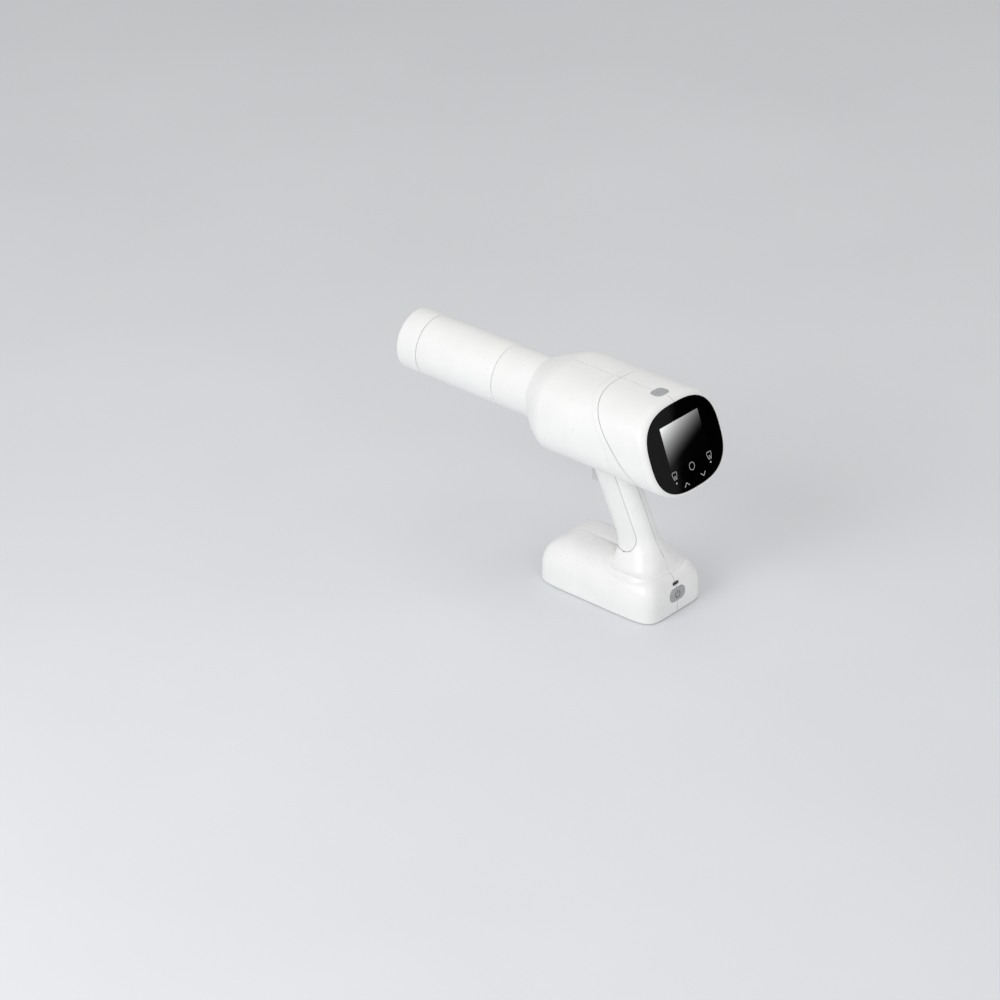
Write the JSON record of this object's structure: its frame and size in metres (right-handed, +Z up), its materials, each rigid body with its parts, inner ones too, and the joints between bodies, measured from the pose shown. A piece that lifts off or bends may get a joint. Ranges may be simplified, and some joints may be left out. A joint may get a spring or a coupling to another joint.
{
  "type": "handheld dental x-ray unit",
  "caption": "Pistol-shaped handheld dental x-ray source with a round beam cone, rear display, top button, trigger, slanted grip and a battery base that it stands on.",
  "frame": {"origin": "middle of the underside of the rubber pad under the base", "axes": "+X to the user's right, +Y along the beam away from the user, +Z up from the desk"},
  "size_m": [0.1148, 0.361, 0.2341],
  "materials": {
    "white_plastic": "satin white moulding",
    "inner_plastic": "matt black moulding",
    "grey_key": "satin grey moulding",
    "black_glass": "black printed cover glass",
    "black_rubber": "matt",
    "board_green": "green circuit board",
    "steel": "bright steel",
    "aluminium": "satin",
    "lead": "dull lead sheet",
    "copper": "bright copper",
    "clear_glass": "clear",
    "cell_sleeve": "blue shrink sleeve over the cell's can",
    "ferrite": "dark ferrite",
    "lcd_black": "gloss black",
    "red_sleeve": "red silicone sleeve"
  },
  "bodies": {
    "unit": {"anti_slip_pad": "black_rubber", "base_plate": "white_plastic", "base_plate_screw_1": "steel", "base_plate_screw_2": "steel", "base_plate_screw_3": "steel", "base_plate_screw_4": "steel", "base_screw_front_upper": "steel", "base_screw_rear_upper": "steel", "battery_board": "board_green", "battery_cell_1": "cell_sleeve", "battery_cell_2": "cell_sleeve", "battery_cell_3": "cell_sleeve", "battery_cell_4": "cell_sleeve", "battery_tray": "inner_plastic", "beam_filter": "aluminium", "body_screw_lower": "steel", "body_screw_rear": "steel", "body_screw_upper": "steel", "buzzer": "inner_plastic", "charge_board": "board_green", "charging_port": "steel", "collimator": "lead", "cone_collar": "white_plastic", "cone_end_ring": "white_plastic", "cone_liner": "lead", "cone_tube": "white_plastic", "display_frame": "inner_plastic", "display_glass": "black_glass", "driver_board": "board_green", "exit_window": "clear_glass", "grip_front_cover": "white_plastic", "grip_screw": "steel", "housing_left": "white_plastic", "housing_right": "white_plastic", "lcd_module": "lcd_black", "main_board": "board_green", "power_lead": "red_sleeve", "power_switch": "inner_plastic", "rear_cover_left": "white_plastic", "rear_cover_right": "white_plastic", "rear_cover_screw_lower": "steel", "rear_cover_screw_upper": "steel", "tank_body": "aluminium", "tank_gasket": "black_rubber", "tank_lid": "aluminium", "top_button_board": "board_green", "top_button_spring": "steel", "top_button_switch": "inner_plastic", "transformer_core": "ferrite", "transformer_winding": "copper", "trigger_switch": "inner_plastic", "xray_tube_anode": "copper", "xray_tube_cathode": "steel", "xray_tube_glass": "clear_glass"},
    "trigger_body": {"trigger": "grey_key"},
    "top_button_body": {"top_button": "grey_key"},
    "power_button_body": {"power_button": "grey_key"}
  },
  "joints": [
    {"name": "trigger_pull", "type": "slide", "parent": "unit", "child": "trigger_body", "axis": [0, -1, 0], "range_m": [0, 0.0025], "stiffness_N_per_m": 900},
    {"name": "top_button_press", "type": "slide", "parent": "unit", "child": "top_button_body", "axis": [0, 0, -1], "range_m": [0, 0.001], "stiffness_N_per_m": 1500, "deforming": ["top_button_spring"]},
    {"name": "power_button_press", "type": "slide", "parent": "unit", "child": "power_button_body", "axis": [0, 1, 0], "range_m": [0, 0.0008], "stiffness_N_per_m": 2000}
  ]
}
